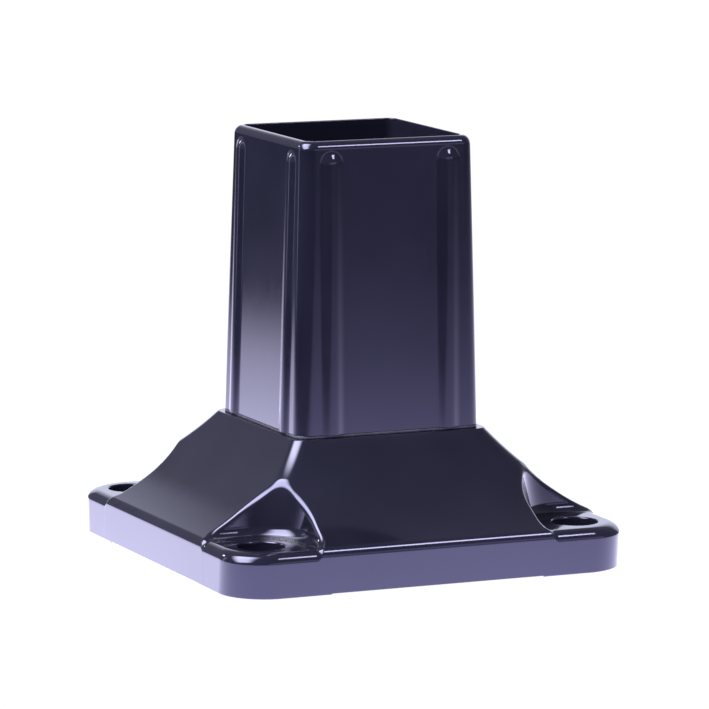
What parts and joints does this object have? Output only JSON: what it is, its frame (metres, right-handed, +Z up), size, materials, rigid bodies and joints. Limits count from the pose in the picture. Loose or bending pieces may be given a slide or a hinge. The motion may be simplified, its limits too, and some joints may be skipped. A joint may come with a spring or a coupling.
{
  "type": "square stanchion base",
  "caption": "Square stanchion base: a flared foot with corner bolt pockets carries a tapered square post socket with raised beads, joined from below, with set screws in the rear face.",
  "frame": {"origin": "centre of the foot's underside, on the deck", "axes": "+Z up along the socket's axis; X and Y square to the foot's sides; the set screws are in the +Y face"},
  "size_m": [0.1334, 0.1334, 0.1322],
  "materials": {
    "black_coat": "gloss black powder coat on cast aluminium",
    "gasket_rubber": "matte black rubber",
    "stainless": "plain stainless steel",
    "pad_plastic": "matte dark grey moulded plastic"
  },
  "bodies": {
    "base": {"foot_casting": "black_coat", "socket_column": "black_coat", "seam_gasket": "gasket_rubber", "tie_screws": "stainless", "tie_lock_washers": "stainless", "post_stop_pad": "pad_plastic"},
    "lower_set_screw": {"set_screw_lower": "stainless"},
    "upper_set_screw": {"set_screw_upper": "stainless"}
  },
  "joints": [
    {"name": "lower_set_screw_travel", "type": "slide", "parent": "base", "child": "lower_set_screw", "axis": [0, -1, 0], "range_m": [0, 0.002]},
    {"name": "upper_set_screw_travel", "type": "slide", "parent": "base", "child": "upper_set_screw", "axis": [0, -1, 0], "range_m": [0, 0.002]}
  ]
}
